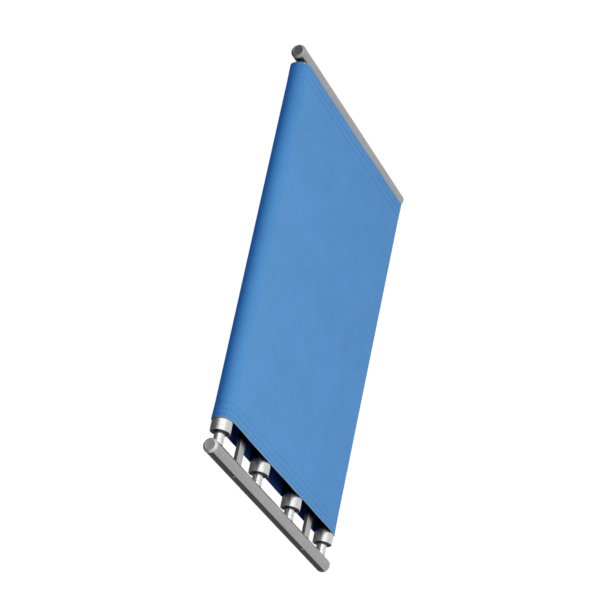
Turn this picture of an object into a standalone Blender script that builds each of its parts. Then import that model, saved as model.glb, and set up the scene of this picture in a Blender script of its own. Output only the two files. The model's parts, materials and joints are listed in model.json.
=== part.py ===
"""A patient roller board: four free-spinning rollers between two round end bars.

A coated fabric sleeve, one endless loop, runs round all four rollers. The board
lies flat on the lower run of the sleeve. +X is across the rollers, +Y is along
them and +Z is up; the origin is on the floor under the middle of the frame.
"near" is the -Y end, "far" the +Y end, "left" the -X side, "right" the +X side.
"""

import math

import bmesh
import bpy

MM = 0.001
GAP = 0.3 * MM  # kept between two separate pieces that touch

# Rollers
ROLLER_X = (-293 * MM, -85 * MM, 98 * MM, 293 * MM)
ROLLER_R = 20 * MM
ROLLER_WALL = 1.5 * MM
ROLLER_HALF = 380 * MM  # half the length of a tube
PLUG_RECESS = 0.8 * MM
PLUG_DEPTH = 18 * MM
PLUG_BEVEL = 0.5 * MM
WINDOW_CLEARANCE = 0.6 * MM  # between a plug and the spacer that runs through it

# Bearings: 12 mm bore, 28 mm outside, 8 mm wide
BEARING_R = 14 * MM
BEARING_WIDTH = 8 * MM
BEARING_COVER = 4 * MM  # plug material in front of the bearing
INNER_RACE_R = 8.5 * MM
OUTER_RACE_R = 12 * MM
SHIELD_DEPTH = 0.5 * MM

# Axles and the spacers on them
AXLE_R = 6 * MM
AXLE_BEVEL = 0.8 * MM
SPACER_R = 10.2 * MM
SEAT_CLEARANCE = 0.4 * MM

# End bars: round, with an open channel along the side that faces away
BAR_R = 15 * MM
BAR_Y = 416.5 * MM  # from the middle of the frame to a bar's axis
BAR_HALF = 325 * MM  # half the length over the end caps
CHANNEL_WIDTH = 14.8 * MM
CHANNEL_FLOOR = 8 * MM  # from the bar's axis to the channel's floor
AXLE_BORE_FLOOR = 1 * MM  # from the bar's axis to the bottom of an axle bore
SEAT_FLOOR = 12 * MM  # from the bar's axis to the seats of spacers and struts

# End caps
CAP_HEAD = 5 * MM
CAP_CHAMFER = 4.2 * MM
CAP_SPIGOT_R = 5 * MM
CAP_SPIGOT = 12 * MM

# Channel liners
LINER_WALL = 1.2 * MM
LINER_RECESS = 0.4 * MM

# Struts and their screws
STRUT_X = {"left": -190 * MM, "right": 199 * MM}
STRUT_WIDTH = 25 * MM
STRUT_HEIGHT = 8 * MM
STRUT_BEVEL = 0.6 * MM
SCREW_HEAD_R = 4.2 * MM
SCREW_HEAD = 2.4 * MM
HEAD_CLEARANCE = 0.5 * MM
SCREW_BEVEL = 0.6 * MM
SCREW_SHANK_R = 2.3 * MM
SCREW_GRIP = 18 * MM  # length in the strut
SCREW_SOCKET_R = 1.7 * MM
SCREW_SOCKET = 1.4 * MM

# Fabric sleeve
SLEEVE_WALL = 1.2 * MM
SLEEVE_HALF = 377 * MM
SLEEVE_SHIFT = 19.75 * MM  # the loop has crept this far towards the far bar

AXIS_Z = ROLLER_R + GAP + SLEEVE_WALL  # height of every roller's and bar's axis
SIDES = (("near", -1), ("far", 1))
HANDS = (("left", -1), ("right", 1))

FACETS_ROLLER = 48
FACETS_BAR = 48
FACETS_MID = 28
FACETS_SMALL = 24
FACETS_HIDDEN = 20
SMOOTH_ANGLE = math.radians(35)


def clear_scene():
    for item in list(bpy.data.objects):
        bpy.data.objects.remove(item, do_unlink=True)


def material(name, colour, roughness, metallic):
    made = bpy.data.materials.new(name)
    made.use_nodes = True
    shader = made.node_tree.nodes["Principled BSDF"]
    shader.inputs["Base Color"].default_value = (*colour, 1)
    shader.inputs["Roughness"].default_value = roughness
    shader.inputs["Metallic"].default_value = metallic
    return made


def add_object(name, shape, finish, place=(0, 0, 0), parent=None):
    """Turn a finished bmesh into a named, smooth-shaded object."""
    bmesh.ops.recalc_face_normals(shape, faces=shape.faces)
    mesh = bpy.data.meshes.new(name)
    shape.to_mesh(mesh)
    shape.free()
    mesh.shade_smooth()
    mesh.set_sharp_from_angle(angle=SMOOTH_ANGLE)
    mesh.materials.append(finish)
    made = bpy.data.objects.new(name, mesh)
    made.location = place
    made.parent = parent
    bpy.context.scene.collection.objects.link(made)
    return made


def along_y(radius, across, angle):
    return (radius * math.cos(angle), across, radius * math.sin(angle))


def along_x(radius, across, angle):
    return (across, radius * math.cos(angle), radius * math.sin(angle))


def turned(profile, facets, place=along_y, closed=True):
    """Revolve (radius, distance) points; a point of radius 0 is a single tip."""
    shape = bmesh.new()
    rings = []
    for radius, across in profile:
        count = facets if radius > 0 else 1
        ring = [
            shape.verts.new(place(radius, across, 2 * math.pi * i / facets))
            for i in range(count)
        ]
        rings.append(ring)
    pairs = list(zip(rings, rings[1:]))
    if closed:
        pairs.append((rings[-1], rings[0]))
    for first, second in pairs:
        for i in range(facets):
            corners = [
                first[i % len(first)],
                first[(i + 1) % len(first)],
                second[(i + 1) % len(second)],
                second[i % len(second)],
            ]
            distinct = list(dict.fromkeys(corners))
            shape.faces.new(distinct)
    return shape


def rod(radius, low, high, facets, place=along_y, bevel=0.0):
    """A solid round bar from low to high."""
    profile = [(0, low)]
    if bevel:
        profile += [(radius - bevel, low), (radius, low + bevel)]
        profile += [(radius, high - bevel), (radius - bevel, high)]
    else:
        profile += [(radius, low), (radius, high)]
    profile.append((0, high))
    return turned(profile, facets, place, closed=False)


def block(low, high):
    shape = bmesh.new()
    bmesh.ops.create_cube(shape, size=1)
    for vert in shape.verts:
        for axis in range(3):
            middle = (low[axis] + high[axis]) / 2
            vert.co[axis] = middle + vert.co[axis] * (high[axis] - low[axis])
    return shape


def extruded(outline, low, high):
    """Extrude a closed outline of (y, z) points along X."""
    shape = bmesh.new()
    first = [shape.verts.new((low, y, z)) for y, z in outline]
    second = [shape.verts.new((high, y, z)) for y, z in outline]
    count = len(outline)
    for i in range(count):
        j = (i + 1) % count
        shape.faces.new((first[i], first[j], second[j], second[i]))
    shape.faces.new(first)
    shape.faces.new(second)
    return shape


def gathered(parts):
    """One bmesh that holds several separate shapes, each moved to its place."""
    whole = bmesh.new()
    for shape, place in parts:
        bmesh.ops.translate(shape, verts=shape.verts, vec=place)
        scrap = bpy.data.meshes.new("scrap")
        shape.to_mesh(scrap)
        shape.free()
        whole.from_mesh(scrap)
        bpy.data.meshes.remove(scrap)
    return whole


def cut(target, name, parts):
    """Subtract separate (shape, place) parts from an object, in its own axes."""
    finish = target.data.materials[0]
    cutter = add_object(name, gathered(parts), finish, target.location)
    cutter.hide_render = True
    cutter.display_type = "WIRE"
    boolean = target.modifiers.new(name, "BOOLEAN")
    boolean.operation = "DIFFERENCE"
    boolean.solver = "EXACT"
    boolean.object = cutter


def along_bar(low, high, side, radius, facets):
    """A rod along Y between two distances outward from a bar's axis."""
    ends = sorted((side * low, side * high))
    return rod(radius, ends[0], ends[1], facets)


def stepped_bore(side, past):
    """The hole for an axle with the wider seat for its spacer, as a cutter."""
    seat_r = SPACER_R + SEAT_CLEARANCE
    bore_r = AXLE_R + GAP
    profile = [
        (0, -AXLE_BORE_FLOOR),
        (bore_r, -AXLE_BORE_FLOOR),
        (bore_r, -SEAT_FLOOR),
        (seat_r, -SEAT_FLOOR),
        (seat_r, -BAR_R - past),
        (0, -BAR_R - past),
    ]
    return turned([(r, side * y) for r, y in profile], FACETS_SMALL, closed=False)


def strut_pocket(side, past):
    half_x = STRUT_WIDTH / 2 + GAP
    half_z = STRUT_HEIGHT / 2 + GAP
    ends = sorted((-side * SEAT_FLOOR, -side * (BAR_R + past)))
    return block((-half_x, ends[0], -half_z), (half_x, ends[1], half_z))


def make_end_bar(label, side, finishes):
    length = BAR_HALF - CAP_HEAD - GAP
    past = 5 * MM  # a cutter runs this far out of the bar
    bar = add_object(
        f"end_bar_{label}",
        rod(BAR_R, -length, length, FACETS_BAR, along_x),
        finishes["aluminium"],
        (0, side * BAR_Y, AXIS_Z),
    )
    recesses = [(stepped_bore(side, past), (x, 0, 0)) for x in ROLLER_X]
    screw_holes = []
    for hand, way in HANDS:
        recesses.append((strut_pocket(side, past), (STRUT_X[hand], 0, 0)))
        ends = sorted((way * (length - CAP_SPIGOT), way * (length + past)))
        cap_bore = rod(CAP_SPIGOT_R + GAP, ends[0], ends[1], FACETS_HIDDEN, along_x)
        recesses.append((cap_bore, (0, 0, 0)))
        hole = along_bar(BAR_R + past, -BAR_R - past, side, SCREW_SHANK_R + GAP, FACETS_HIDDEN)
        screw_holes.append((hole, (STRUT_X[hand], 0, 0)))
    half = CHANNEL_WIDTH / 2
    depths = sorted((side * CHANNEL_FLOOR, side * (BAR_R + past)))
    channel = block((-length - past, depths[0], -half), (length + past, depths[1], half))
    cut(bar, f"recess_cut_{label}", recesses)
    cut(bar, f"channel_cut_{label}", [(channel, (0, 0, 0))])
    cut(bar, f"screw_hole_cut_{label}", screw_holes)


def make_end_caps(label, side, finishes):
    head_start = BAR_HALF - CAP_HEAD
    spigot_end = head_start - CAP_SPIGOT + GAP
    for hand, way in HANDS:
        profile = [
            (0, way * BAR_HALF),
            (BAR_R - CAP_CHAMFER, way * BAR_HALF),
            (BAR_R, way * (BAR_HALF - CAP_CHAMFER)),
            (BAR_R, way * head_start),
            (CAP_SPIGOT_R, way * head_start),
            (CAP_SPIGOT_R, way * spigot_end),
            (0, way * spigot_end),
        ]
        add_object(
            f"bar_cap_{label}_{hand}",
            turned(profile, FACETS_MID, along_x, closed=False),
            finishes["cap"],
            (0, side * BAR_Y, AXIS_Z),
        )


def make_channel_liner(label, side, finishes):
    """A U-shaped rubber strip lining the channel, holed for the screw heads."""
    half = CHANNEL_WIDTH / 2 - GAP
    lip = math.sqrt(BAR_R**2 - (CHANNEL_WIDTH / 2) ** 2) - LINER_RECESS
    floor = CHANNEL_FLOOR + GAP
    inside = half - LINER_WALL
    outline = [
        (floor, -half),
        (lip, -half),
        (lip, -inside),
        (floor + LINER_WALL, -inside),
        (floor + LINER_WALL, inside),
        (lip, inside),
        (lip, half),
        (floor, half),
    ]
    end = BAR_HALF - CAP_HEAD - 2 * GAP
    liner = add_object(
        f"channel_liner_{label}",
        extruded([(side * y, z) for y, z in outline], -end, end),
        finishes["rubber"],
        (0, side * BAR_Y, AXIS_Z),
    )
    windows = []
    for x in STRUT_X.values():
        window = along_bar(0, BAR_R, side, SCREW_HEAD_R + HEAD_CLEARANCE, FACETS_SMALL)
        windows.append((window, (x, 0, 0)))
    cut(liner, f"liner_window_cut_{label}", windows)


def make_strut(hand, finishes):
    """A flat bar between the two end bars, tapped at both ends."""
    end = BAR_Y - SEAT_FLOOR - GAP
    half_x = STRUT_WIDTH / 2
    half_z = STRUT_HEIGHT / 2
    shape = block((-half_x, -end, -half_z), (half_x, end, half_z))
    strut = add_object(f"strut_{hand}", shape, finishes["aluminium"], (STRUT_X[hand], 0, AXIS_Z))
    bevel = strut.modifiers.new("edges", "BEVEL")
    bevel.width = STRUT_BEVEL
    bevel.segments = 1
    holes = []
    for _, side in SIDES:
        ends = sorted((side * (end - SCREW_GRIP - GAP), side * (end + SEAT_FLOOR)))
        holes.append((rod(SCREW_SHANK_R + GAP, ends[0], ends[1], FACETS_HIDDEN), (0, 0, 0)))
    cut(strut, f"tapping_cut_{hand}", holes)


def make_strut_screw(label, side, hand, finishes):
    """A low-head socket screw from the channel's floor into a strut's end."""
    under = CHANNEL_FLOOR + GAP
    face = under + SCREW_HEAD
    tip = -(SEAT_FLOOR + GAP + SCREW_GRIP)
    profile = [
        (0, face),
        (SCREW_HEAD_R - SCREW_BEVEL, face),
        (SCREW_HEAD_R, face - SCREW_BEVEL),
        (SCREW_HEAD_R, under),
        (SCREW_SHANK_R, under),
        (SCREW_SHANK_R, tip + SCREW_BEVEL),
        (SCREW_SHANK_R - SCREW_BEVEL, tip),
        (0, tip),
    ]
    at = (STRUT_X[hand], side * BAR_Y, AXIS_Z)
    screw = add_object(
        f"strut_screw_{label}_{hand}",
        turned([(r, side * y) for r, y in profile], FACETS_HIDDEN, closed=False),
        finishes["steel"],
        at,
    )
    socket = along_bar(face - SCREW_SOCKET, BAR_R, side, SCREW_SOCKET_R, 6)
    cut(screw, f"socket_cut_{label}_{hand}", [(socket, (0, 0, 0))])


def make_axle(number, x, finishes):
    end = BAR_Y - AXLE_BORE_FLOOR - GAP
    shape = rod(AXLE_R, -end, end, FACETS_SMALL, bevel=AXLE_BEVEL)
    add_object(f"axle_{number}", shape, finishes["steel"], (x, 0, AXIS_Z))


def make_spacer(number, x, label, side, finishes):
    """The sleeve on the axle between a bearing and the end bar."""
    start = ROLLER_HALF - PLUG_RECESS - BEARING_COVER
    end = BAR_Y - SEAT_FLOOR - GAP
    inner = AXLE_R + GAP
    profile = [(inner, start), (SPACER_R, start), (SPACER_R, end), (inner, end)]
    shape = turned([(r, side * y) for r, y in profile], FACETS_HIDDEN)
    add_object(f"axle_spacer_{number}_{label}", shape, finishes["bright"], (x, 0, AXIS_Z))


def make_roller_tube(number, finishes, parent):
    end = ROLLER_HALF
    inner = ROLLER_R - ROLLER_WALL
    profile = [(inner, -end), (ROLLER_R, -end), (ROLLER_R, end), (inner, end)]
    shape = turned(profile, FACETS_ROLLER)
    add_object(f"roller_tube_{number}", shape, finishes["bright"], parent=parent)


def make_roller_plug(number, label, side, finishes, parent):
    """The black plug that sits inside a roller's end and houses its bearing."""
    face = ROLLER_HALF - PLUG_RECESS
    body_r = ROLLER_R - ROLLER_WALL - GAP
    back = face - PLUG_DEPTH
    pocket_r = BEARING_R + GAP
    window_r = SPACER_R + WINDOW_CLEARANCE
    profile = [
        (window_r, face),
        (body_r - PLUG_BEVEL, face),
        (body_r, face - PLUG_BEVEL),
        (body_r, back + PLUG_BEVEL),
        (body_r - PLUG_BEVEL, back),
        (pocket_r, back),
        (pocket_r, face - BEARING_COVER),
        (window_r, face - BEARING_COVER),
    ]
    shape = turned([(r, side * y) for r, y in profile], FACETS_SMALL)
    add_object(f"roller_plug_{number}_{label}", shape, finishes["plug"], parent=parent)


def make_bearing(number, label, side, finishes, parent):
    face = ROLLER_HALF - PLUG_RECESS - BEARING_COVER - GAP
    back = face - BEARING_WIDTH
    inner = AXLE_R + GAP
    profile = [
        (inner, face),
        (INNER_RACE_R, face),
        (INNER_RACE_R, face - SHIELD_DEPTH),
        (OUTER_RACE_R, face - SHIELD_DEPTH),
        (OUTER_RACE_R, face),
        (BEARING_R, face),
        (BEARING_R, back),
        (inner, back),
    ]
    shape = turned([(r, side * y) for r, y in profile], FACETS_HIDDEN)
    add_object(f"bearing_{number}_{label}", shape, finishes["steel"], parent=parent)


def make_roller(number, x, finishes):
    axis = bpy.data.objects.new(f"roller_axis_{number}", None)
    axis.location = (x, 0, AXIS_Z)
    bpy.context.scene.collection.objects.link(axis)
    make_roller_tube(number, finishes, axis)
    for label, side in SIDES:
        make_roller_plug(number, label, side, finishes, axis)
        make_bearing(number, label, side, finishes, axis)
        make_spacer(number, x, label, side, finishes)
    make_axle(number, x, finishes)


def loop_outline(radius, steps):
    """The sleeve's (x, z) outline: two half circles joined by flat runs."""
    points = []
    for centre, start in ((ROLLER_X[-1], -math.pi / 2), (ROLLER_X[0], math.pi / 2)):
        for i in range(steps + 1):
            angle = start + math.pi * i / steps
            points.append((centre + radius * math.cos(angle), radius * math.sin(angle)))
    return points


def make_sleeve(finishes):
    """One endless loop of coated fabric round all four rollers."""
    inner = loop_outline(ROLLER_R + GAP, FACETS_SMALL)
    outer = loop_outline(ROLLER_R + GAP + SLEEVE_WALL, FACETS_SMALL)
    count = len(outer)
    shape = bmesh.new()
    rings = []
    for outline, y in (
        (outer, -SLEEVE_HALF),
        (outer, SLEEVE_HALF),
        (inner, SLEEVE_HALF),
        (inner, -SLEEVE_HALF),
    ):
        rings.append([shape.verts.new((x, y, z)) for x, z in outline])
    for k in range(4):
        first, second = rings[k], rings[(k + 1) % 4]
        for i in range(count):
            j = (i + 1) % count
            shape.faces.new((first[i], first[j], second[j], second[i]))
    add_object("fabric_sleeve", shape, finishes["fabric"], (0, SLEEVE_SHIFT, AXIS_Z))


def make_finishes():
    return {
        "aluminium": material("satin aluminium", (0.48, 0.49, 0.50), 0.42, 1.0),
        "cap": material("grey cap", (0.30, 0.31, 0.32), 0.45, 0.6),
        "bright": material("polished steel", (0.72, 0.73, 0.74), 0.18, 1.0),
        "steel": material("plain steel", (0.50, 0.50, 0.51), 0.35, 1.0),
        "plug": material("black plastic", (0.010, 0.010, 0.012), 0.45, 0.0),
        "rubber": material("dark rubber", (0.045, 0.047, 0.050), 0.65, 0.0),
        "fabric": material("blue coated fabric", (0.075, 0.24, 0.52), 0.60, 0.0),
    }


def main():
    clear_scene()
    finishes = make_finishes()
    for label, side in SIDES:
        make_end_bar(label, side, finishes)
        make_end_caps(label, side, finishes)
        make_channel_liner(label, side, finishes)
        for hand in STRUT_X:
            make_strut_screw(label, side, hand, finishes)
    for hand in STRUT_X:
        make_strut(hand, finishes)
    for number, x in enumerate(ROLLER_X, 1):
        make_roller(number, x, finishes)
    make_sleeve(finishes)


main()
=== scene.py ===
"""Looks of the patient roller board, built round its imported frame.

Metres, +Z up. The rollers and struts run along Y, the end bars along X. Places and sizes come
from the frame's own boxes, so every piece sits where its solid is.
"""
import json
import math

import bmesh
import bpy
import numpy as np
from mathutils import Matrix, Vector


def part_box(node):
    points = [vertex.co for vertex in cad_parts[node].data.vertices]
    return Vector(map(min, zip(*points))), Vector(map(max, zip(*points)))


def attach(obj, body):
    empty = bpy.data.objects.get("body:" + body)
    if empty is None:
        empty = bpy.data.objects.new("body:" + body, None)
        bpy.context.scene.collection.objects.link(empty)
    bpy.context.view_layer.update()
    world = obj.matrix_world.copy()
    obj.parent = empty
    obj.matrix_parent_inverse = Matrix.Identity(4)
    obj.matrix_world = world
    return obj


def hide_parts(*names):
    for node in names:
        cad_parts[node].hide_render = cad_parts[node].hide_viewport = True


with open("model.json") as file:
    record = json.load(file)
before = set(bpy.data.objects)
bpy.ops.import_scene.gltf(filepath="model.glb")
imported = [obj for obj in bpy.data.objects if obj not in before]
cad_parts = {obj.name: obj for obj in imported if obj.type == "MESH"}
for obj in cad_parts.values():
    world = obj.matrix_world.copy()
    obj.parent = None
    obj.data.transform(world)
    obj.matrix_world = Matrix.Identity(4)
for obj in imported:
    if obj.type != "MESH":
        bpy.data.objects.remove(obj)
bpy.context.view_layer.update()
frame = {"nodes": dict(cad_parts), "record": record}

MM = 0.001
ENDS = ("near", "far")
SIDES = ("left", "right")
ROLLERS = (1, 2, 3, 4)

# Camera, aimed at a point near the board's middle
AIM = Vector((-0.060, -0.0005, 0.0215))
CAMERA_DISTANCE = 5.532
CAMERA_AZIMUTH = math.radians(-65.76)
CAMERA_ELEVATION = math.radians(22.34)
CAMERA_ROLL = math.radians(92.4)
CAMERA_LENS = 167.41
CAMERA_SENSOR = 36
CAMERA_REACH = 100

FLOOR_HALF = 30.0
FLOOR_DROP = 0.5 * MM

# Lighting, as (height of a direction from 0 down to 1 up, brightness). Gloss mirrors one set of
# levels, and diffuse light comes from another. The tints are a choice of look, a warm key and a
# strongly blue fill, and the base colours of the materials were set under them.
MIRRORED_STOPS = ((0.0, 0.08), (0.23, 0.15), (0.35, 0.30), (0.5, 0.66), (0.62, 0.72), (1.0, 0.74))
FILL_STOPS = ((0.0, 0.12), (0.35, 0.17), (0.5, 0.31), (0.62, 0.31), (1.0, 0.22))
PATCH_DIRECTION = Vector((-0.79, 0.38, 0.48))
PATCH_EDGE = 0.62
PATCH_LEVEL = 0.60
KEY_PLACE = Vector((-1.35, -0.75, 2.9))
KEY_SIZE = 2.0
KEY_POWER = 78
KEY_TINT = (1.20, 0.98, 0.66)
FILL_TINT = (0.30, 1.25, 2.25)


# ---------------------------------------------------------------- frame's sizes
def middle(node):
    """Middle of a node's box."""
    low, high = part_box(node)
    return (low + high) / 2


def size(node):
    """Lengths of a node's box."""
    low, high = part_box(node)
    return high - low


AXIS_Z = middle("axle_1").z
ROLLER_X = [middle(f"axle_{i}").x for i in ROLLERS]
ROLLER_RADIUS = size("roller_tube_1").x / 2
BAR_RADIUS = size("end_bar_near").z / 2
CAP_RADIUS = size("bar_cap_near_left").z / 2
SPACER_RADIUS = size("axle_spacer_1_near").x / 2
BAR_Y = middle("axle_1").y + middle("bar_cap_far_left").y

# Details that lie inside the boxes
CHANNEL_HALF = 7.4 * MM
CHANNEL_FLOOR = 8 * MM
SEAT_FLOOR = 12 * MM
AXLE_BORE_RADIUS = 6.3 * MM
AXLE_BORE_FLOOR = 1 * MM
PLUG_WINDOW_RADIUS = 10.8 * MM
PLUG_POCKET_RADIUS = 14.3 * MM
PLUG_COVER = 4 * MM
TUBE_WALL = 1.5 * MM
CAP_CHAMFER = 4.2 * MM
CAP_SPIGOT_RADIUS = 5 * MM
CAP_HEAD = 5 * MM
SCREW_HEAD_RADIUS = 4.2 * MM
SCREW_SHANK_RADIUS = 2.3 * MM
SCREW_HEAD = 2.4 * MM
SCREW_CLEARANCE = 0.3 * MM
SCREW_SOCKET_RADIUS = 1.7 * MM
SCREW_SOCKET = 1.4 * MM
LINER_WALL = 1.2 * MM
STRUT_ROUNDING = 0.9 * MM
PRESS_GAP = 0.3 * MM  # between two pieces that are pressed together
SEAT_GAP = 0.25 * MM  # round a spacer or strut in its seat
CAP_BORE = 12 * MM  # depth of the bore for a cap's spigot
CAP_DISH = 0.35 * MM
GROOVE_PLACE = 9 * MM  # from a spacer's outer end to its groove
GROOVE_HALF = 0.5 * MM
GROOVE_DEPTH = 0.25 * MM
RING_WIDTH = 2.2 * MM  # raised ring round a plug's window
RING_HEIGHT = 0.6 * MM
CUTTER_PAST = 4 * MM  # how far a cutter reaches past the surface that it opens

# Facets round each kind of piece
TUBE_FACETS = 128
WIDE_FACETS = 96
SPACER_FACETS = 80
SEAT_FACETS = 48
HOLE_FACETS = 32
SOCKET_SIDES = 6

# Fabric loop
CLOTH_THICKNESS = 1.0 * MM
HEM_THICKNESS = 0.42 * MM
HEM_WIDTH = 19.5 * MM
TAPE_WIDTH = 33 * MM
STITCH_ROWS = (7 * MM, 18 * MM, 31.5 * MM)
STITCH_PITCH = 8.0 * MM
STITCH_LENGTH = 5.2 * MM
STITCH_RADIUS = 0.34 * MM
THREAD_PITCH = 1.1 * MM
STITCH_LIFTS = (-0.3, 0.35, 0.55, 0.35, -0.3)
STITCH_WIDTHS = (0.35, 0.9, 1.0, 0.9, 0.35)
STITCH_SHARES = (0.0, 0.2, 0.5, 0.8, 1.0)
STITCH_SIDES = 6
FLAT_STEPS = 150
BEND_STEPS = 34
SEAM_X = 0.2
SEAM_HALF = 9 * MM
SEAM_THICKNESS = 0.25 * MM
GROOVE_UNDER_STITCH = 0.32 * MM
PUCKER_HEIGHT = 0.12 * MM
EDGE_ROUNDING = 0.45 * MM
RIPPLE_HEIGHT = 0.16 * MM
RIPPLE_SEED = 11
RIPPLE_WAVES = 9
SAG = 0.75 * MM
OVERHANG_DROOP = 0.8 * MM
FLARE_REACH = 24 * MM
SIDE_FLARE = 0.85 * MM
TOP_FLARE = 0.35 * MM
WANDER_REACH = 60 * MM
CUT_EDGE_COLOUR = (0.20, 0.30, 0.42)

# Shade painted inside the loop, standing in for deep shade there; it isn't wear. Metal fades
# between two distances from the middle, down to this share of its colour. The loop's inner face
# is painted a dark navy of its own: painted shade for the inside of the loop.
SHADE_REACH = (351 * MM, 360 * MM)
SHADE_LEVEL = 0.06
INNER_SHADE_COLOUR = (0.004, 0.032, 0.150)


# ---------------------------------------------------------------- camera, floor and light
def make_camera():
    """Long lens, turned on its side, looking along the board from beyond its near left corner."""
    a, e, r = CAMERA_AZIMUTH, CAMERA_ELEVATION, CAMERA_ROLL
    back = Vector((math.sin(a) * math.cos(e), -math.cos(a) * math.cos(e), math.sin(e)))
    level = Vector((math.cos(a), math.sin(a), 0))
    right = math.cos(r) * level + math.sin(r) * back.cross(level)
    turn = Matrix((right, back.cross(right), back)).transposed().to_4x4()
    data = bpy.data.cameras.new("camera")
    data.lens = CAMERA_LENS
    data.sensor_width = CAMERA_SENSOR
    data.clip_end = CAMERA_REACH
    camera = bpy.data.objects.new("camera", data)
    camera.matrix_world = Matrix.Translation(AIM + back * CAMERA_DISTANCE) @ turn
    bpy.context.scene.collection.objects.link(camera)
    bpy.context.scene.camera = camera


def make_floor():
    """A wide white floor just under the board. It glows, so almost no shadow shows on it."""
    half = FLOOR_HALF
    mesh = bpy.data.meshes.new("floor")
    corners = [(-half, -half, 0), (half, -half, 0), (half, half, 0), (-half, half, 0)]
    mesh.from_pydata(corners, [], [(0, 1, 2, 3)])
    floor = bpy.data.objects.new("floor", mesh)
    floor.location.z = -FLOOR_DROP
    floor.visible_diffuse = False
    floor.visible_glossy = False
    bpy.context.scene.collection.objects.link(floor)
    material, nodes, links, shader = new_material("floor_white")
    shader.inputs["Base Color"].default_value = (0.05, 0.05, 0.05, 1)
    shader.inputs["Roughness"].default_value = 1
    shader.inputs["Specular IOR Level"].default_value = 0
    shader.inputs["Emission Color"].default_value = (1, 1, 1, 1)
    shader.inputs["Emission Strength"].default_value = 1.0
    mesh.materials.append(material)


def world_ramp(nodes, links, height, name, stops, tint=(1, 1, 1)):
    """Brightness of the surroundings by the height of a direction."""
    ramp = nodes.new("ShaderNodeValToRGB")
    ramp.label = name
    elements = ramp.color_ramp.elements
    elements[0].position, elements[1].position = stops[0][0], stops[-1][0]
    for place, _ in stops[1:-1]:
        elements.new(place)
    for element, (_, level) in zip(elements, stops):
        element.color = (*(level * share for share in tint), 1)
    links.new(height, ramp.inputs[0])
    return ramp.outputs[0]


def make_world():
    """Surroundings: grey levels and a soft bright patch, but a blue fill for diffuse light."""
    world = bpy.data.worlds.new("studio")
    world.use_nodes = True
    nodes, links = world.node_tree.nodes, world.node_tree.links
    coords = nodes.new("ShaderNodeTexCoord")
    split = nodes.new("ShaderNodeSeparateXYZ")
    height = nodes.new("ShaderNodeMapRange")
    height.inputs["From Min"].default_value = -1
    links.new(coords.outputs["Generated"], split.inputs[0])
    links.new(split.outputs["Z"], height.inputs["Value"])
    mirrored = world_ramp(nodes, links, height.outputs[0], "mirrored", MIRRORED_STOPS)
    fill = world_ramp(nodes, links, height.outputs[0], "fill", FILL_STOPS, FILL_TINT)

    toward = nodes.new("ShaderNodeVectorMath")
    toward.operation = "DOT_PRODUCT"
    toward.inputs[1].default_value = PATCH_DIRECTION.normalized()
    links.new(coords.outputs["Generated"], toward.inputs[0])
    patch = nodes.new("ShaderNodeMapRange")
    patch.interpolation_type = "SMOOTHSTEP"
    patch.inputs["From Min"].default_value = PATCH_EDGE
    patch.inputs["To Max"].default_value = PATCH_LEVEL
    links.new(toward.outputs["Value"], patch.inputs["Value"])
    lit = nodes.new("ShaderNodeMix")
    lit.data_type = "RGBA"
    lit.blend_type = "ADD"
    lit.inputs["Factor"].default_value = 1
    links.new(mirrored, lit.inputs["A"])
    links.new(patch.outputs[0], lit.inputs["B"])

    rays = nodes.new("ShaderNodeLightPath")
    choose = nodes.new("ShaderNodeMix")
    choose.data_type = "RGBA"
    links.new(rays.outputs["Is Diffuse Ray"], choose.inputs["Factor"])
    links.new(lit.outputs["Result"], choose.inputs["A"])
    links.new(fill, choose.inputs["B"])
    links.new(choose.outputs["Result"], nodes["Background"].inputs["Color"])
    bpy.context.scene.world = world


def make_lights():
    """One broad warm lamp high on the left, which gloss doesn't mirror."""
    data = bpy.data.lights.new("key", "AREA")
    data.shape = "RECTANGLE"
    data.size = data.size_y = KEY_SIZE
    data.energy = KEY_POWER
    data.color = KEY_TINT
    light = bpy.data.objects.new("key", data)
    light.location = KEY_PLACE
    light.rotation_mode = "QUATERNION"
    light.rotation_quaternion = (-KEY_PLACE).to_track_quat("-Z", "Y")
    light.visible_glossy = False
    bpy.context.scene.collection.objects.link(light)


# ---------------------------------------------------------------- materials
def new_material(name):
    """A material with its nodes, its links and its main shader."""
    material = bpy.data.materials.new(name)
    material.use_nodes = True
    nodes, links = material.node_tree.nodes, material.node_tree.links
    return material, nodes, links, nodes["Principled BSDF"]


def noise_of(nodes, links, place, scale, detail=2):
    """Noise over a place."""
    made = nodes.new("ShaderNodeTexNoise")
    made.inputs["Scale"].default_value = scale
    made.inputs["Detail"].default_value = detail
    links.new(place, made.inputs["Vector"])
    return made.outputs["Fac"]


def stretched(nodes, links, place, stretch):
    """A place, scaled along each axis."""
    mapping = nodes.new("ShaderNodeMapping")
    mapping.inputs["Scale"].default_value = stretch
    links.new(place, mapping.inputs[0])
    return mapping.outputs[0]


def ranged(nodes, links, value, low, high, from_low=0.0, from_high=1.0):
    """A value, moved from one range to another."""
    made = nodes.new("ShaderNodeMapRange")
    made.inputs["From Min"].default_value = from_low
    made.inputs["From Max"].default_value = from_high
    made.inputs["To Min"].default_value = low
    made.inputs["To Max"].default_value = high
    links.new(value, made.inputs["Value"])
    return made.outputs[0]


def combined(nodes, links, kind, first, second):
    """Two values joined by one Math node."""
    made = nodes.new("ShaderNodeMath")
    made.operation = kind
    links.new(first, made.inputs[0])
    links.new(second, made.inputs[1])
    return made.outputs[0]


def tinted(nodes, links, colour, share):
    """A colour, fixed or from a node, times a share."""
    made = nodes.new("ShaderNodeVectorMath")
    made.operation = "SCALE"
    if isinstance(colour, tuple):
        made.inputs[0].default_value = colour
    else:
        links.new(colour, made.inputs[0])
    links.new(share, made.inputs["Scale"])
    return made.outputs[0]


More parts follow.
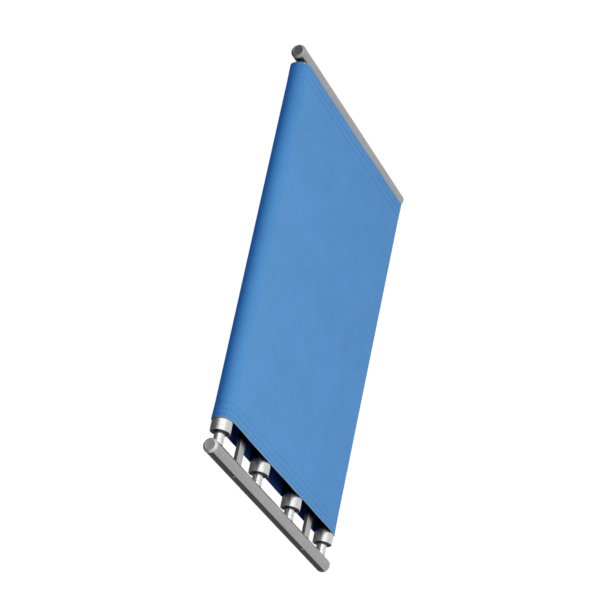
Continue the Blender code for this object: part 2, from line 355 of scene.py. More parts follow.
def raise_relief(nodes, links, shader, height, strength, distance):
    """Give a shader fine relief."""
    relief = nodes.new("ShaderNodeBump")
    relief.inputs["Strength"].default_value = strength
    relief.inputs["Distance"].default_value = distance
    links.new(height, relief.inputs["Height"])
    links.new(relief.outputs[0], shader.inputs["Normal"])


def magnitude(nodes, links, vector, axis):
    """Size of one part of a vector, without its sign."""
    split = nodes.new("ShaderNodeSeparateXYZ")
    links.new(vector, split.inputs[0])
    made = nodes.new("ShaderNodeMath")
    made.operation = "ABSOLUTE"
    links.new(split.outputs[axis], made.inputs[0])
    return made.outputs[0]


def turned_to_x(nodes, links, first, second, low, high):
    """A colour that is first on faces that look along X and second on the rest."""
    geometry = nodes.new("ShaderNodeNewGeometry")
    facing = magnitude(nodes, links, geometry.outputs["Normal"], "X")
    mix = nodes.new("ShaderNodeMix")
    mix.data_type = "RGBA"
    mix.inputs["A"].default_value = (*second, 1)
    mix.inputs["B"].default_value = (*first, 1)
    links.new(ranged(nodes, links, facing, 0.0, 1.0, low, high), mix.inputs["Factor"])
    return mix.outputs["Result"]


def shaded_inside(nodes, links, place, colour):
    """A metal's own colour outside the loop, painted down to deep shade inside it."""
    reach = magnitude(nodes, links, place, "Y")
    share = nodes.new("ShaderNodeMapRange")
    share.interpolation_type = "SMOOTHSTEP"
    share.inputs["From Min"].default_value, share.inputs["From Max"].default_value = SHADE_REACH
    share.inputs["To Min"].default_value = SHADE_LEVEL
    links.new(reach, share.inputs["Value"])
    return tinted(nodes, links, colour, share.outputs[0])


def metal_material(name, colour, roughness, streak_scale, bump, edge=None, shaded=False):
    """Metal with fine streaks and scuffs; streak_scale is (across x, across y, across z).

    edge is a darker colour painted on faces that look along X, where given: painted shade on
    those sides. A shaded piece gets painted shade where it runs inside the fabric loop.
    """
    material, nodes, links, shader = new_material(name)
    place = nodes.new("ShaderNodeTexCoord").outputs["Object"]
    streaks = noise_of(nodes, links, stretched(nodes, links, place, streak_scale), 1.0, 5)
    scuffs = noise_of(nodes, links, place, 260, 6)
    streak_tone = ranged(nodes, links, streaks, 0.90, 1.08, 0.3, 0.7)
    scuff_tone = ranged(nodes, links, scuffs, 0.90, 1.08, 0.35, 0.65)
    tone = combined(nodes, links, "MULTIPLY", streak_tone, scuff_tone)
    base = turned_to_x(nodes, links, edge, colour, 0.6, 0.9) if edge else colour
    paint = tinted(nodes, links, base, tone)
    if shaded:
        paint = shaded_inside(nodes, links, place, paint)
    links.new(paint, shader.inputs["Base Color"])
    rough = ranged(nodes, links, scuffs, roughness * 0.8, roughness * 1.25)
    links.new(rough, shader.inputs["Roughness"])
    raise_relief(nodes, links, shader, streaks, bump, 0.05 * MM)
    shader.inputs["Metallic"].default_value = 1
    return material


def plastic_material(name, colour, roughness, grain=700, metallic=0.0, rim=None):
    """Moulded plastic with a fine grain; rim is the colour of faces that don't look along X."""
    material, nodes, links, shader = new_material(name)
    place = nodes.new("ShaderNodeTexCoord").outputs["Object"]
    noise = noise_of(nodes, links, place, grain, 3)
    base = turned_to_x(nodes, links, colour, rim, 0.86, 0.96) if rim else colour
    paint = tinted(nodes, links, base, ranged(nodes, links, noise, 0.86, 1.14))
    links.new(paint, shader.inputs["Base Color"])
    raise_relief(nodes, links, shader, noise, 0.25, 0.1 * MM)
    shader.inputs["Roughness"].default_value = roughness
    shader.inputs["Metallic"].default_value = metallic
    return material


def threads(nodes, links, way):
    """Rise and fall of the threads across one way of the cloth."""
    step = nodes.new("ShaderNodeMath")
    step.operation = "MULTIPLY"
    step.inputs[1].default_value = 2 * math.pi / THREAD_PITCH
    links.new(way, step.inputs[0])
    made = nodes.new("ShaderNodeMath")
    made.operation = "SINE"
    links.new(step.outputs[0], made.inputs[0])
    return made.outputs[0]


def fabric_material(name, colour):
    """Coated woven fabric: fine weave, faint mottling, and a paler cut edge.

    The attribute "cloth" holds the way round the loop, the way along it and the distance
    to the nearest cut edge, in metres; a second attribute is 1 on the loop's inner face, which
    is painted a dark navy there: painted shade for the inside of the loop.
    """
    material, nodes, links, shader = new_material(name)
    attribute = nodes.new("ShaderNodeAttribute")
    attribute.attribute_name = "cloth"
    place = attribute.outputs["Vector"]
    split = nodes.new("ShaderNodeSeparateXYZ")
    links.new(place, split.inputs[0])

    across, along = (threads(nodes, links, split.outputs[axis]) for axis in "XY")
    weave = combined(nodes, links, "MULTIPLY", across, along)
    lengthways = stretched(nodes, links, place, (1, 0.12, 1))
    tone = ranged(nodes, links, weave, 0.985, 1.015, -1.0, 1.0)
    for where, scale, detail, change in (
        (place, 9, 4, 0.035),
        (lengthways, 60, 3, 0.02),
        (place, 1400, 2, 0.03),
    ):
        noise = noise_of(nodes, links, where, scale, detail)
        layer = ranged(nodes, links, noise, 1 - change, 1 + change, 0.3, 0.7)
        tone = combined(nodes, links, "MULTIPLY", tone, layer)

    paint = nodes.new("ShaderNodeMix")
    paint.data_type = "RGBA"
    paint.inputs["A"].default_value = (*CUT_EDGE_COLOUR, 1)
    paint.inputs["B"].default_value = (*colour, 1)
    from_edge = ranged(nodes, links, split.outputs["Z"], 0.0, 1.0, 0.9 * MM, 2.6 * MM)
    links.new(from_edge, paint.inputs["Factor"])
    # Painted shade: the loop's inner face is mixed to a dark navy, standing in for the shade inside
    # the loop.
    face = nodes.new("ShaderNodeAttribute")
    face.attribute_name = "inner_shade"
    with_inner_shade = nodes.new("ShaderNodeMix")
    with_inner_shade.data_type = "RGBA"
    with_inner_shade.inputs["B"].default_value = (*INNER_SHADE_COLOUR, 1)
    links.new(face.outputs["Fac"], with_inner_shade.inputs["Factor"])
    links.new(paint.outputs["Result"], with_inner_shade.inputs["A"])
    links.new(tinted(nodes, links, with_inner_shade.outputs["Result"], tone), shader.inputs["Base Color"])

    rough = ranged(nodes, links, noise_of(nodes, links, place, 30, 3), 0.46, 0.60)
    links.new(rough, shader.inputs["Roughness"])
    height = combined(nodes, links, "ADD", weave, noise_of(nodes, links, place, 900, 2))
    raise_relief(nodes, links, shader, height, 0.35, 0.08 * MM)
    shader.inputs["Specular IOR Level"].default_value = 0.18
    shader.inputs["Sheen Weight"].default_value = 0.04
    shader.inputs["Sheen Roughness"].default_value = 0.5
    return material


def thread_material(name, colour):
    """Sewing thread, uneven in tone."""
    material, nodes, links, shader = new_material(name)
    place = nodes.new("ShaderNodeTexCoord").outputs["Object"]
    tone = ranged(nodes, links, noise_of(nodes, links, place, 2500), 0.8, 1.2)
    links.new(tinted(nodes, links, colour, tone), shader.inputs["Base Color"])
    shader.inputs["Roughness"].default_value = 0.75
    return material


# ---------------------------------------------------------------- shapes
def softened(outline, cuts, steps=4, closed=True):
    """Round the corners of an outline; cuts holds how far from each corner the curve starts."""
    count = len(outline)
    result = []
    for i, ((x, y), reach) in enumerate(zip(outline, cuts)):
        if reach == 0 or (not closed and i in (0, count - 1)):
            result.append((x, y))
            continue
        here = Vector((x, y))
        before = Vector(outline[i - 1]) - here
        after = Vector(outline[(i + 1) % count]) - here
        start = here + before.normalized() * min(reach, before.length * 0.49)
        end = here + after.normalized() * min(reach, after.length * 0.49)
        for k in range(steps + 1):
            t = k / steps
            point = start * (1 - t) ** 2 + here * 2 * t * (1 - t) + end * t * t
            result.append(tuple(point))
    return result


def along_y(radius, along, angle):
    """A point at an angle round a line along Y."""
    return Vector((radius * math.cos(angle), along, radius * math.sin(angle)))


def along_x(radius, along, angle):
    """A point at an angle round a line along X."""
    return Vector((along, radius * math.cos(angle), radius * math.sin(angle)))


def turned(profile, facets, centre, place=along_y, closed=False):
    """Revolve (radius, distance) points round a line through centre."""
    shape = bmesh.new()
    rings = []
    for radius, along in profile:
        count = facets if radius > 0 else 1
        ring = [
            shape.verts.new(centre + place(radius, along, 2 * math.pi * i / facets))
            for i in range(count)
        ]
        rings.append(ring)
    pairs = list(zip(rings, rings[1:]))
    if closed:
        pairs.append((rings[-1], rings[0]))
    for first, second in pairs:
        for i in range(facets):
            j = (i + 1) % facets
            corners = (first[i % len(first)], first[j % len(first)])
            corners += (second[j % len(second)], second[i % len(second)])
            shape.faces.new(list(dict.fromkeys(corners)))
    return shape


def extruded(outline, low, high, centre):
    """Run a closed outline of (y, z) points along X."""
    shape = bmesh.new()
    first = [shape.verts.new(centre + Vector((low, y, z))) for y, z in outline]
    second = [shape.verts.new(centre + Vector((high, y, z))) for y, z in outline]
    count = len(outline)
    for i in range(count):
        j = (i + 1) % count
        shape.faces.new((first[i], first[j], second[j], second[i]))
    shape.faces.new(first)
    shape.faces.new(second)
    return shape


def block(low, high):
    """A box between two corners."""
    shape = bmesh.new()
    bmesh.ops.create_cube(shape, size=1)
    for vert in shape.verts:
        for axis in range(3):
            vert.co[axis] = (low[axis] + high[axis]) / 2 + vert.co[axis] * (high[axis] - low[axis])
    return shape


def to_object(name, shape):
    """Turn a shape into a named object in the scene."""
    bmesh.ops.recalc_face_normals(shape, faces=shape.faces)
    mesh = bpy.data.meshes.new(name)
    shape.to_mesh(mesh)
    shape.free()
    made = bpy.data.objects.new(name, mesh)
    bpy.context.scene.collection.objects.link(made)
    return made


def applied(piece):
    """Freeze a piece's modifiers into its mesh."""
    bpy.context.view_layer.update()
    graph = bpy.context.evaluated_depsgraph_get()
    mesh = bpy.data.meshes.new_from_object(piece.evaluated_get(graph))
    piece.modifiers.clear()
    piece.data = mesh


def carve(piece, cutters):
    """Subtract separate shapes from a piece and freeze the result."""
    made = []
    for number, shape in enumerate(cutters):
        cutter = to_object(f"cutter_{number}", shape)
        boolean = piece.modifiers.new(cutter.name, "BOOLEAN")
        boolean.operation = "DIFFERENCE"
        boolean.solver = "EXACT"
        boolean.object = cutter
        made.append(cutter)
    applied(piece)
    for cutter in made:
        bpy.data.objects.remove(cutter, do_unlink=True)


def from_lists(name, points, faces):
    """A named object from lists of points and faces."""
    mesh = bpy.data.meshes.new(name)
    mesh.from_pydata(points, [], faces)
    mesh.update()
    made = bpy.data.objects.new(name, mesh)
    bpy.context.scene.collection.objects.link(made)
    return made


def dress(piece, slot, body, *nodes, sharp=35, material=None):
    """Shade a finished piece, give it its finish and its body, and let it stand for its nodes."""
    piece.data.shade_smooth()
    piece.data.set_sharp_from_angle(angle=math.radians(sharp))
    piece.data.materials.clear()
    piece.data.materials.append(material or MATERIALS[slot])
    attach(piece, body)
    if nodes:
        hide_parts(*nodes)


def mirrored_rod(radius, start, end, side):
    """Outline of a plain round cutter from start to end along its line."""
    return [(r, side * way) for r, way in ((0, start), (radius, start), (radius, end), (0, end))]


# ---------------------------------------------------------------- frame's pieces
def bar_outline(side):
    """Section of an end bar as (y, z): round, with a channel whose lips are rolled over."""
    start = math.asin(CHANNEL_HALF / BAR_RADIUS)
    points, cuts = [], []
    for i in range(WIDE_FACETS + 1):
        angle = start + (2 * math.pi - 2 * start) * i / WIDE_FACETS
        points.append((BAR_RADIUS * math.cos(angle), BAR_RADIUS * math.sin(angle)))
        cuts.append(0)
    cuts[0] = cuts[-1] = 0.45 * MM
    points += [(CHANNEL_FLOOR, -CHANNEL_HALF), (CHANNEL_FLOOR, CHANNEL_HALF)]
    cuts += [0.3 * MM, 0.3 * MM]
    return [(side * y, z) for y, z in softened(points, cuts)]


def axle_seat(side, centre):
    """Cutter for one axle's bore and the wider seat of its spacer."""
    seat, mouth = SPACER_RADIUS + SEAT_GAP, BAR_RADIUS + CUTTER_PAST
    steps = [(0, -AXLE_BORE_FLOOR), (AXLE_BORE_RADIUS, -AXLE_BORE_FLOOR)]
    steps += [(AXLE_BORE_RADIUS, -SEAT_FLOOR), (seat, -SEAT_FLOOR), (seat, -mouth), (0, -mouth)]
    return turned([(r, side * y) for r, y in steps], SEAT_FACETS, centre)


def strut_seat(hand, side, centre):
    """Cutters for one strut's pocket and the hole of its screw."""
    low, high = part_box(f"strut_{hand}")
    near, far = sorted((side * (BAR_Y - SEAT_FLOOR), side * (BAR_Y - BAR_RADIUS - CUTTER_PAST)))
    pocket_low = (low.x - SEAT_GAP, near, low.z - SEAT_GAP)
    pocket = block(pocket_low, (high.x + SEAT_GAP, far, high.z + SEAT_GAP))
    rod = mirrored_rod(SCREW_SHANK_RADIUS + SCREW_CLEARANCE, -BAR_RADIUS, BAR_RADIUS, side)
    at = centre + Vector((middle(f"strut_{hand}").x, 0, 0))
    return [pocket, turned(rod, HOLE_FACETS, at)]


def make_end_bar(label, side):
    """Round bar with its channel, and the seats of everything that it holds."""
    low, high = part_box(f"end_bar_{label}")
    centre = Vector((0, side * BAR_Y, AXIS_Z))
    bar = to_object(f"bar_{label}", extruded(bar_outline(side), low.x, high.x, centre))
    seats = [axle_seat(side, centre + Vector((x, 0, 0))) for x in ROLLER_X]
    for hand in SIDES:
        seats += strut_seat(hand, side, centre)
    for way in (-1, 1):
        bore = CAP_SPIGOT_RADIUS + SCREW_CLEARANCE
        rod = mirrored_rod(bore, high.x - CAP_BORE, high.x + CUTTER_PAST, way)
        seats.append(turned(rod, HOLE_FACETS, centre, along_x))
    carve(bar, seats)
    dress(bar, "end_bar", "frame", f"end_bar_{label}", sharp=28)


def make_bar_cap(label, side, hand, way):
    """Cap with a chamfered rim and a slightly dished face."""
    node = f"bar_cap_{label}_{hand}"
    low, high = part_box(node)
    outer = max(abs(low.x), abs(high.x))
    inner = min(abs(low.x), abs(high.x))
    head = outer - CAP_HEAD
    disc = CAP_RADIUS - CAP_CHAMFER
    dish = outer - CAP_DISH
    points = [(0, dish), (disc - 1.9 * MM, dish), (disc - 1.5 * MM, outer)]
    points += [(disc, outer), (CAP_RADIUS, outer - CAP_CHAMFER), (CAP_RADIUS, head)]
    points += [(CAP_SPIGOT_RADIUS, head), (CAP_SPIGOT_RADIUS, inner), (0, inner)]
    cuts = [0, 0.3 * MM, 0.3 * MM, 1.6 * MM, 1.4 * MM, 0.15 * MM, 0.3 * MM, 0.6 * MM, 0]
    profile = [(r, way * x) for r, x in softened(points, cuts, 6, closed=False)]
    centre = Vector((0, side * BAR_Y, AXIS_Z))
    cap = to_object(f"cap_{label}_{hand}", turned(profile, WIDE_FACETS, centre, along_x))
    dress(cap, f"bar_cap_{label}", "frame", node)


def make_liner(label, side):
    """Rubber strip pressed into the channel, open over each screw."""
    node = f"channel_liner_{label}"
    low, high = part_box(node)
    half = CHANNEL_HALF - PRESS_GAP
    floor = CHANNEL_FLOOR + PRESS_GAP
    lip = max(abs(low.y), abs(high.y)) - BAR_Y
    inside = half - LINER_WALL
    points = [(floor, -half), (lip, -half), (lip, -inside), (floor + LINER_WALL, -inside)]
    points += [(floor + LINER_WALL, inside), (lip, inside), (lip, half), (floor, half)]
    cuts = [0.3 * MM, 0.4 * MM, 0.4 * MM, 0.7 * MM, 0.7 * MM, 0.4 * MM, 0.4 * MM, 0.3 * MM]
    outline = [(side * y, z) for y, z in softened(points, cuts)]
    centre = Vector((0, side * BAR_Y, AXIS_Z))
    liner = to_object(f"liner_{label}", extruded(outline, low.x, high.x, centre))
    windows = []
    for hand in SIDES:
        hole = SCREW_HEAD_RADIUS + 0.5 * MM
        at = centre + Vector((middle(f"strut_{hand}").x, 0, 0))
        windows.append(turned(mirrored_rod(hole, 0, BAR_RADIUS, side), HOLE_FACETS, at))
    carve(liner, windows)
    dress(liner, "channel_liner", "frame", node)


def make_strut(hand):
    """Flat bar with rounded edges, drilled for its screws."""
    node = f"strut_{hand}"
    low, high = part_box(node)
    shape = block(low, high)
    bmesh.ops.bevel(
        shape, geom=list(shape.edges), offset=STRUT_ROUNDING, segments=4, profile=0.5, affect="EDGES"
    )
    strut = to_object(f"flat_bar_{hand}", shape)
    holes = []
    for label, side in zip(ENDS, (-1, 1)):
        tip_low, tip_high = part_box(f"strut_screw_{label}_{hand}")
        tip = tip_high.y if side < 0 else tip_low.y
        hole = SCREW_SHANK_RADIUS + SCREW_CLEARANCE
        inner, outer = tip - side * SCREW_CLEARANCE, side * BAR_Y
        at = Vector((middle(node).x, 0, AXIS_Z))
        holes.append(turned(mirrored_rod(hole, inner, outer, 1), HOLE_FACETS, at))
    carve(strut, holes)
    dress(strut, "strut", "frame", node)


def make_screw(label, side, hand):
    """Low-head socket screw."""
    node = f"strut_screw_{label}_{hand}"
    low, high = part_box(node)
    face = max(abs(low.y), abs(high.y))
    tip = min(abs(low.y), abs(high.y))
    under = face - SCREW_HEAD
    points = [(0, face), (SCREW_HEAD_RADIUS, face), (SCREW_HEAD_RADIUS, under)]
    points += [(SCREW_SHANK_RADIUS, under), (SCREW_SHANK_RADIUS, tip), (0, tip)]
    cuts = [0, 0.8 * MM, 0.2 * MM, 0.1 * MM, 0.8 * MM, 0]
    profile = [(r, side * y) for r, y in softened(points, cuts, 5, closed=False)]
    centre = Vector((middle(node).x, 0, AXIS_Z))
    screw = to_object(f"screw_{label}_{hand}", turned(profile, SEAT_FACETS, centre))
    socket = mirrored_rod(SCREW_SOCKET_RADIUS, face - SCREW_SOCKET, face + MM, side)
    carve(screw, [turned(socket, SOCKET_SIDES, centre)])
    dress(screw, "screw", "frame", node)


def make_spacer(number, label, side):
    """Turned collar on the axle, chamfered at both ends, with one shallow groove."""
    node = f"axle_spacer_{number}_{label}"
    low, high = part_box(node)
    ends = sorted((abs(low.y), abs(high.y)))
    bore = AXLE_BORE_RADIUS
    groove = ends[1] - GROOVE_PLACE
    points = [(bore, ends[0]), (SPACER_RADIUS, ends[0])]
    points += [(SPACER_RADIUS, groove - GROOVE_HALF), (SPACER_RADIUS - GROOVE_DEPTH, groove)]
    points += [(SPACER_RADIUS, groove + GROOVE_HALF), (SPACER_RADIUS, ends[1]), (bore, ends[1])]
    cuts = [0.2 * MM, 0.9 * MM, 0.2 * MM, 0.2 * MM, 0.2 * MM, 0.5 * MM, 0.2 * MM]
    profile = [(r, side * y) for r, y in softened(points, cuts)]
    centre = Vector((ROLLER_X[number - 1], 0, AXIS_Z))
    spacer = to_object(f"collar_{number}_{label}", turned(profile, SPACER_FACETS, centre, closed=True))
    dress(spacer, "spacer", "frame", node)


def make_tube(number):
    """Roller tube with rounded ends."""
    node = f"roller_tube_{number}"
    low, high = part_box(node)
    inner = ROLLER_RADIUS - TUBE_WALL
    points = [(inner, low.y), (ROLLER_RADIUS, low.y), (ROLLER_RADIUS, high.y), (inner, high.y)]
    cuts = [0.3 * MM, 0.7 * MM, 0.7 * MM, 0.3 * MM]
    profile = softened(points, cuts, 5)
    centre = Vector((ROLLER_X[number - 1], 0, AXIS_Z))
    tube = to_object(f"tube_{number}", turned(profile, TUBE_FACETS, centre, closed=True))
    dress(tube, "roller", f"roller_{number}", node)


def make_plug(number, label, side):
    """Moulded plug in a roller's end, with a raised ring round its window."""
    node = f"roller_plug_{number}_{label}"
    low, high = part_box(node)
    face = max(abs(low.y), abs(high.y))
    back = min(abs(low.y), abs(high.y))
    body = size(node).x / 2
    window, ring = PLUG_WINDOW_RADIUS, PLUG_WINDOW_RADIUS + RING_WIDTH
    points = [(window, face), (ring, face), (ring + 0.4 * MM, face - RING_HEIGHT)]
    points += [(body - 1.4 * MM, face - RING_HEIGHT), (body - MM, face), (body, face), (body, back)]
    points += [(PLUG_POCKET_RADIUS, back), (PLUG_POCKET_RADIUS, face - PLUG_COVER)]
    points += [(window, face - PLUG_COVER)]
    cuts = [0.3 * MM] * 5 + [0.4 * MM, 0.4 * MM, 0.3 * MM, 0.2 * MM, 0.3 * MM]
    profile = [(r, side * y) for r, y in softened(points, cuts)]
    centre = Vector((ROLLER_X[number - 1], 0, AXIS_Z))
    plug = to_object(f"plug_{number}_{label}", turned(profile, WIDE_FACETS, centre, closed=True))
    dress(plug, "roller_plug", f"roller_{number}", node)


# ---------------------------------------------------------------- fabric loop
LOOP_RADIUS = size("fabric_sleeve").z / 2 - HEM_THICKNESS
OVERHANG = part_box("fabric_sleeve")[1].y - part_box("roller_tube_1")[1].y


def loop_columns():
    """Stations round the loop: (way round, x, z, outward x, outward z, share of a bend)."""
    left, right = ROLLER_X[0], ROLLER_X[-1]
    radius = LOOP_RADIUS
    flat = right - left
    stations = []
    way = 0.0
    for up, start, end in ((1, left, right), (-1, right, left)):
        for i in range(FLAT_STEPS):
            run = flat * i / FLAT_STEPS
            stations.append((way + run, start + up * run, up * radius, 0.0, up, 0.0))
        way += flat
        for i in range(BEND_STEPS):
            turn = math.pi * i / BEND_STEPS
            angle = up * math.pi / 2 - turn
            c, s = math.cos(angle), math.sin(angle)
            place = (end + radius * c, radius * s)
            stations.append((way + radius * turn, *place, c, s, math.sin(turn)))
        way += radius * math.pi
    return np.array(stations), way


def edge_rows(low, high):
    """Rows across the loop: close together over the hems, wider apart between them."""
    fine = [0, 0.12, 0.35, 0.8, 1.8, 3.4, 5.0, 6.1, 6.55, 7, 7.45, 7.9, 9.5, 11.5, 13.5, 15.5]
    fine += [16.9, 17.55, 18, 18.45, 19.1, 19.6, 20.2, 20.9, 22.5, 25, 28, 30.2, 31.05, 31.5]
    fine += [31.95, 32.6, 33.1, 33.8, 35, 38, 42, 47]
    fine = np.array(fine) * MM
    span = np.linspace(low + 53 * MM, high - 53 * MM, 100)
    return np.concatenate((low + fine, span, (high - fine)[::-1]))


def smooth_step(value, start, end):
    """0 before start, 1 after end, and an even curve between them."""
    t = np.clip((value - start) / (end - start), 0, 1)
    return t * t * (3 - 2 * t)


def ripple(u, v, seed, waves, amplitude):
    """A sum of seeded sine waves over (u, v), in metres."""
    rng = np.random.default_rng(seed)
    total = np.zeros(np.broadcast(u, v).shape)
    for _ in range(waves):
        length_u, length_v = rng.uniform(0.22, 0.60), rng.uniform(0.045, 0.16)
        phase = rng.uniform(0, 2 * math.pi)
        tilt = rng.choice((-1, 1))
        total += np.sin(2 * math.pi * (u / length_u + tilt * v / length_v) + phase)
    return amplitude * total / math.sqrt(waves)


def free_span(x):
    """Nought on each roller's top, one midway between two of them."""
    share = np.zeros_like(x)
    for a, b in zip(ROLLER_X, ROLLER_X[1:]):
        inside = (x >= a) & (x <= b)
        t = (x - a) / (b - a)
        share = np.where(inside, 4 * t * (1 - t), share)
    return share


def hem_relief(way, edge):
    """Height of the hem's layers, stitch grooves and puckers above the plain cloth."""
    fold = 1 - smooth_step(edge, HEM_WIDTH, HEM_WIDTH + 1.1 * MM)
    tape = 1 - smooth_step(edge, TAPE_WIDTH, TAPE_WIDTH + MM)
    groove = 0
    for row in STITCH_ROWS:
        groove = groove + GROOVE_UNDER_STITCH * np.exp(-(((edge - row) / (0.5 * MM)) ** 2))
    puckers = np.sin(2 * math.pi * way / (9.2 * MM) + 3 * np.sin(way / (31 * MM)))
    puckers = PUCKER_HEIGHT * puckers * np.exp(-(((edge - 12 * MM) / (9 * MM)) ** 2))
    return HEM_THICKNESS * (0.55 * fold + 0.45 * tape) - groove + puckers


def loop_surface(stations, rows, depth):
    """Points of the loop's outer (depth 0) or inner (depth 1) face."""
    low, high = rows[0], rows[-1]
    way, x, z, out_x, out_z, bend = (stations[:, k][:, None] for k in range(6))
    y = rows[None, :] + 0 * way
    near, far = y - low, high - y
    edge = np.minimum(near, far)
    top = (out_z > 0.999).astype(float)
    bottom = (out_z < -0.999).astype(float)

    to_edge = 1 - np.clip(edge / (0.8 * MM), 0, 1)
    rounding = EDGE_ROUNDING * (1 - np.sqrt(np.clip(1 - to_edge**2, 0, 1)))
    if depth == 0:
        lift = hem_relief(way, edge) - rounding
    else:
        seam = (np.abs(x - SEAM_X) < SEAM_HALF) * bottom
        lift = -CLOTH_THICKNESS + rounding - SEAM_THICKNESS * seam

    span = free_span(x)
    waves = ripple(x, y, RIPPLE_SEED, RIPPLE_WAVES, RIPPLE_HEIGHT) * span
    sag = SAG * span * (0.8 + 0.2 * np.cos(2 * math.pi * y / 0.9))
    droop = OVERHANG_DROOP * (1 - smooth_step(far, 0, OVERHANG)) ** 2 * span
    lift = lift + top * (waves - sag - droop)
    flare = (1 - smooth_step(near, 0, FLARE_REACH)) ** 2
    side = np.clip(bend, 0, 1)
    lift = lift + SIDE_FLARE * flare * side + TOP_FLARE * flare * top * (0.3 + span)

    wander = 0.5 * MM * np.sin(2 * math.pi * way / 0.43 + 1.0)
    wander = wander + 0.25 * MM * np.sin(2 * math.pi * way / 0.13)
    y = y + wander * (1 - smooth_step(edge, 0, WANDER_REACH))
    points = np.stack((x + out_x * lift, y, AXIS_Z + z + out_z * lift), axis=-1)
    return points, np.stack((way + 0 * y, y - low, edge), axis=-1)


def shell_faces(columns, across):
    """Faces of the closed shell: outer and inner face, and the two cut edges."""
    shift, last = columns * across, across - 1
    faces = []
    for i in range(columns):
        here, there = i * across, ((i + 1) % columns) * across
        deep, beyond = shift + here, shift + there
        for k in range(across - 1):
            faces.append((here + k, there + k, there + k + 1, here + k + 1))
            faces.append((deep + k + 1, beyond + k + 1, beyond + k, deep + k))
        faces.append((deep, beyond, there, here))
        faces.append((here + last, there + last, beyond + last, deep + last))
    return faces


def make_sleeve():
    """The fabric as one closed shell, hemmed at both ends, with a seam underneath."""
    low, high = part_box("fabric_sleeve")
    stations, length = loop_columns()
    rows = edge_rows(low.y, high.y)
    outer, outer_at = loop_surface(stations, rows, 0)
    inner, inner_at = loop_surface(stations, rows, 1)
    points = np.concatenate((outer.reshape(-1, 3), inner.reshape(-1, 3)))
    at = np.concatenate((outer_at.reshape(-1, 3), inner_at.reshape(-1, 3)))
    faces = shell_faces(len(stations), len(rows))
    sleeve = from_lists("sleeve_cloth", points.tolist(), faces)
    cloth = sleeve.data.attributes.new("cloth", "FLOAT_VECTOR", "POINT")
    cloth.data.foreach_set("vector", at.astype(np.float32).ravel())
    # Marks the loop's inner face, which the fabric's material paints dark navy as painted shade.
    inner_shade = sleeve.data.attributes.new("inner_shade", "FLOAT", "POINT")
    is_inner = np.arange(len(points)) >= len(points) // 2
    inner_shade.data.foreach_set("value", is_inner.astype(np.float32))
    dress(sleeve, "sleeve", "sleeve", "fabric_sleeve", sharp=60)

    stitching = [make_stitching(label, outer, stations, rows, length) for label in ENDS]


def add_stitch(points, faces, path, outward):
    """Add one short thread, its ends sunk in the cloth."""
    base = len(points)
    for (x, y, z), (nx, nz), lift, width in zip(path, outward, STITCH_LIFTS, STITCH_WIDTHS):
        for corner in range(STITCH_SIDES):
            angle = 2 * math.pi * corner / STITCH_SIDES
            up = STITCH_RADIUS * (lift + width * math.sin(angle))
            over = STITCH_RADIUS * width * math.cos(angle)
            points.append((x + nx * up, y + over, z + nz * up))
    rings = len(STITCH_SHARES) - 1
    for ring in range(rings):
        for corner in range(STITCH_SIDES):
            a = base + ring * STITCH_SIDES + corner
            b = base + ring * STITCH_SIDES + (corner + 1) % STITCH_SIDES
            faces.append((a, b, b + STITCH_SIDES, a + STITCH_SIDES))
    faces.append(tuple(base + c for c in reversed(range(STITCH_SIDES))))
    faces.append(tuple(base + rings * STITCH_SIDES + c for c in range(STITCH_SIDES)))


def make_stitching(label, outer, stations, rows, length):
    """Three rows of short threads sunk into a hem."""
    points, faces = [], []
    ways = np.append(stations[:, 0], length)
    normals = np.concatenate((stations[:, 3:5], stations[:1, 3:5]))
    count = int(length / STITCH_PITCH)
    for row_edge in STITCH_ROWS:
        column = rows[0] + row_edge if label == "near" else rows[-1] - row_edge
        k = int(np.argmin(np.abs(rows - column)))
        line = np.concatenate((outer[:, k], outer[:1, k]))
        for n in range(count):
            spots = [n * length / count + share * STITCH_LENGTH for share in STITCH_SHARES]
            path = [[np.interp(w, ways, line[:, c]) for c in range(3)] for w in spots]
            outward = [[np.interp(w, ways, normals[:, c]) for c in range(2)] for w in spots]
            add_stitch(points, faces, path, outward)
    made = from_lists(f"hem_stitching_{label}", points, faces)
    dress(made, "sleeve", "sleeve", sharp=80, material=THREAD)
    return made


# ---------------------------------------------------------------- scene
make_camera()
make_floor()
make_world()
make_lights()

bpy.context.scene.view_settings.view_transform = "Standard"

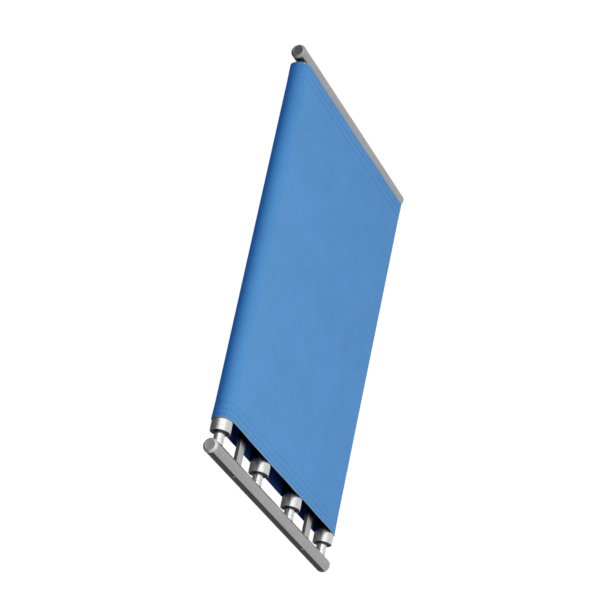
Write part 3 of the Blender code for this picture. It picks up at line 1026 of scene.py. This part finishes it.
MATERIALS = {
    "end_bar": metal_material("bar_aluminium", (0.47, 0.47, 0.47), 0.30, (8, 900, 900), 0.3),
    "strut": metal_material(
        "strut_aluminium",
        (0.58, 0.58, 0.58),
        0.30,
        (900, 8, 900),
        0.3,
        # Painted shade: faces that look along X, the strut's sides, are painted darker than its top.
        edge=(0.27, 0.27, 0.28),
        shaded=True,
    ),
    "roller": metal_material(
        "roller_aluminium", (0.80, 0.80, 0.80), 0.30, (600, 8, 600), 0.3, shaded=True
    ),
    "spacer": metal_material("spacer_chrome", (0.85, 0.85, 0.85), 0.22, (600, 8, 600), 0.1),
    "screw": metal_material("screw_steel", (0.60, 0.60, 0.60), 0.35, (600, 600, 600), 0.1),
    "axle": metal_material("axle_steel", (0.55, 0.55, 0.56), 0.30, (600, 8, 600), 0.1),
    "bearing": metal_material("bearing_steel", (0.50, 0.50, 0.50), 0.35, (600, 600, 600), 0.1),
    "bar_cap_near": plastic_material(
        "cap_grey", (0.56, 0.54, 0.52), 0.36, metallic=0.7, rim=(0.68, 0.67, 0.65)
    ),
    "bar_cap_far": plastic_material(
        "cap_dark", (0.19, 0.185, 0.18), 0.4, metallic=0.7, rim=(0.40, 0.39, 0.38)
    ),
    "channel_liner": plastic_material("liner_rubber", (0.125, 0.094, 0.080), 0.6),
    "roller_plug": plastic_material("plug_black", (0.010, 0.010, 0.012), 0.45),
    "sleeve": fabric_material("sleeve_blue", (0.088, 0.267, 0.560)),
}
THREAD = thread_material("hem_thread", (0.025, 0.09, 0.22))

for member in frame["record"]["subparts"]:
    node = frame["nodes"][member["node"]]
    node.data.materials.clear()
    node.data.materials.append(MATERIALS[member["material_slot"]])

for label, side in zip(ENDS, (-1, 1)):
    make_end_bar(label, side)
    make_liner(label, side)
    for hand, way in zip(SIDES, (-1, 1)):
        make_bar_cap(label, side, hand, way)
        make_screw(label, side, hand)
    for number in ROLLERS:
        make_spacer(number, label, side)
        make_plug(number, label, side)
for hand in SIDES:
    make_strut(hand)
for number in ROLLERS:
    make_tube(number)
make_sleeve()
